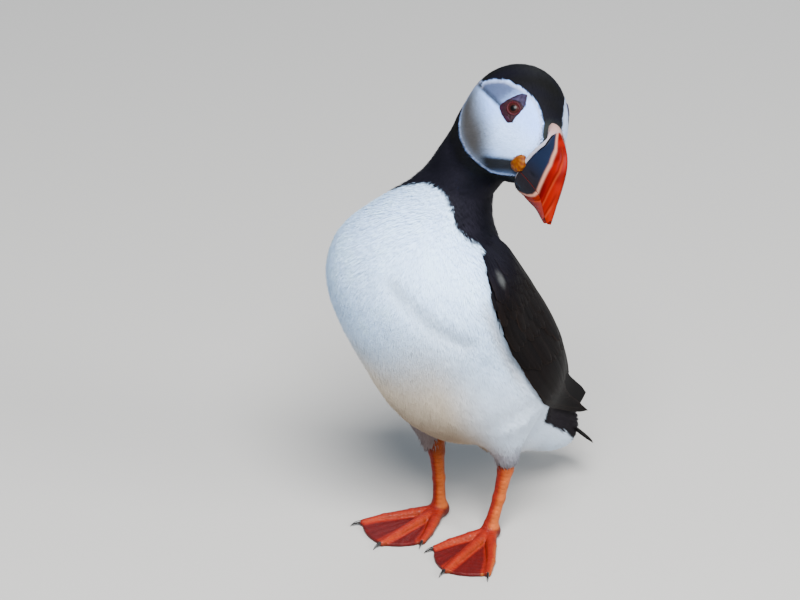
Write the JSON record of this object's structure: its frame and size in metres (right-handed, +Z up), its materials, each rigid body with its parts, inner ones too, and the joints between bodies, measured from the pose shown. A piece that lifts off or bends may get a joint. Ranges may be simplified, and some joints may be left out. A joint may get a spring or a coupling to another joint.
{
  "type": "atlantic puffin, standing bird figure",
  "caption": "Life-size Atlantic puffin standing on webbed feet, head turned to its left, deep triangular bill, folded wings and short tail.",
  "frame": {"origin": "floor under the middle of the model's box; the soles of the feet lie at z = 0", "axes": "+Z up; the bird faces -Y and its own left side is +X; the head is turned toward +X"},
  "size_m": [0.1111, 0.1252, 0.206],
  "materials": {
    "breast_white": "soft white body feathers",
    "collar_black": "soft black feathers",
    "wing_black": "smooth brown-black flight feathers and coverts",
    "face_pale": "pale grey face inside black crown and collar feathers",
    "bill_red": "horn, satin",
    "bill_slate": "horn, satin",
    "bill_rim": "fleshy skin",
    "gape_yellow": "wrinkled bare skin",
    "eye_dark": "wet gloss",
    "eye_plate": "dull horn",
    "leg_orange": "scaly orange skin",
    "claw_black": "horn, satin"
  },
  "bodies": {
    "root": {"trunk": "breast_white", "thigh_left": "breast_white", "thigh_right": "breast_white", "neck": "collar_black", "tail": "collar_black", "wing_left": "wing_black", "wing_right": "wing_black", "head": "face_pale", "bill_upper": "bill_red", "bill_lower": "bill_slate", "bill_rim": "bill_rim", "rosette_left": "gape_yellow", "rosette_right": "gape_yellow", "eye_left": "eye_dark", "eye_right": "eye_dark", "eye_plate_upper_left": "eye_plate", "eye_plate_upper_right": "eye_plate", "eye_plate_lower_left": "eye_plate", "eye_plate_lower_right": "eye_plate", "shank_left": "leg_orange", "shank_right": "leg_orange", "foot_left": "leg_orange", "foot_right": "leg_orange", "claw_outer_left": "claw_black", "claw_middle_left": "claw_black", "claw_inner_left": "claw_black", "claw_outer_right": "claw_black", "claw_middle_right": "claw_black", "claw_inner_right": "claw_black"}
  },
  "joints": []
}
